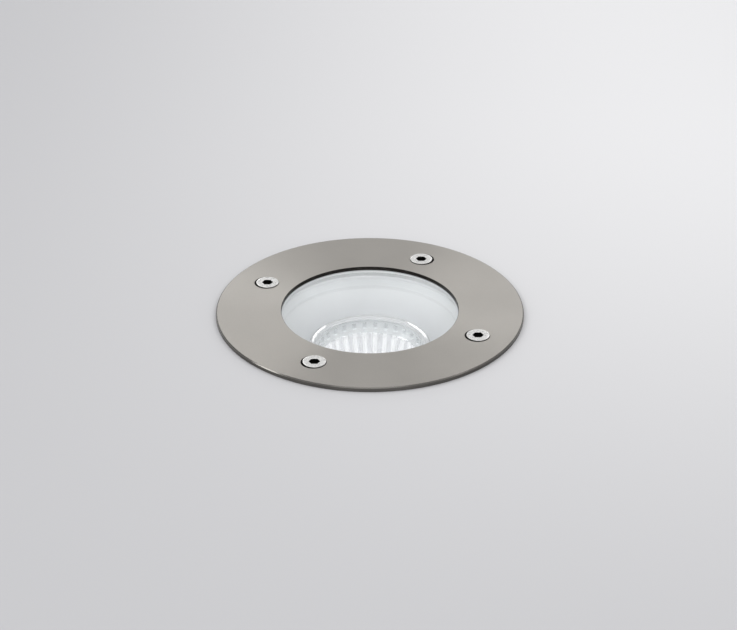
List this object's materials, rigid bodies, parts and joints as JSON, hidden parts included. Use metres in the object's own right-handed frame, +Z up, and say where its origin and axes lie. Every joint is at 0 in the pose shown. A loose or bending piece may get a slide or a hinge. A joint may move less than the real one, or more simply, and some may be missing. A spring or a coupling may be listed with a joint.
{
  "type": "in-ground well light",
  "caption": "Round in-ground light: flat steel ring screwed over a clear glass, white funnel and twist-lock reflector lamp in a finned cup, set in a plastic ground sleeve.",
  "frame": {"origin": "on the light's axis, in the plane of the trim ring's underside, which is the ground's surface", "axes": "+Z up out of the ground along the light's axis; +X and +Y in the ground's surface, with the cable gland towards +Y"},
  "size_m": [0.125, 0.125, 0.1422],
  "materials": {
    "satin_steel": "satin stainless, fine turned grain",
    "screw_steel": "bright stainless",
    "plated_steel": "zinc plated",
    "clear_glass": "toughened, polished",
    "white_silicone": "soft white silicone",
    "white_enamel": "smooth white",
    "lamp_glass": "pressed, clear",
    "silvered_glass": "pressed glass, silvered inside",
    "capsule_glass": "quartz",
    "ceramic": "unglazed white ceramic",
    "pin_metal": "nickel plated",
    "bronze": "spring bronze",
    "brass": "bright brass",
    "cast_aluminium": "die-cast, grey powder coat",
    "block_plastic": "moulded polyamide",
    "brown_insulation": "silicone insulation",
    "blue_insulation": "silicone insulation",
    "green_yellow_insulation": "silicone insulation, green with a yellow stripe",
    "gland_plastic": "moulded polyamide",
    "black_rubber": "soft black",
    "sleeve_plastic": "moulded polypropylene"
  },
  "bodies": {
    "light": {"trim_ring": "satin_steel", "cover_screws": "screw_steel", "glass_lens": "clear_glass", "lens_gasket": "white_silicone", "white_reflector": "white_enamel", "lamp_holder": "ceramic", "holder_contacts": "bronze", "holder_screws": "plated_steel", "holder_bracket": "plated_steel", "bracket_screws": "plated_steel", "lamp_housing": "cast_aluminium", "terminal_block": "block_plastic", "terminal_inserts": "brass", "terminal_screws": "plated_steel", "block_screws": "plated_steel", "live_lead": "brown_insulation", "neutral_lead": "blue_insulation", "earth_lead": "green_yellow_insulation", "earth_tag": "brass", "earth_screw": "plated_steel", "gland_locknut": "gland_plastic", "gland_washer": "black_rubber", "gland_body": "gland_plastic", "gland_seal": "black_rubber", "gland_nut": "gland_plastic", "ground_sleeve": "sleeve_plastic"},
    "lamp": {"lamp_front_glass": "lamp_glass", "lamp_reflector": "silvered_glass", "lamp_capsule": "capsule_glass", "lamp_base": "ceramic", "lamp_pins": "pin_metal"}
  },
  "joints": [
    {"name": "lamp_twist", "type": "hinge", "parent": "light", "child": "lamp", "pos_m": [0, 0, -0.0664], "axis": [0, 0, 1], "range_deg": [0, 22]}
  ]
}
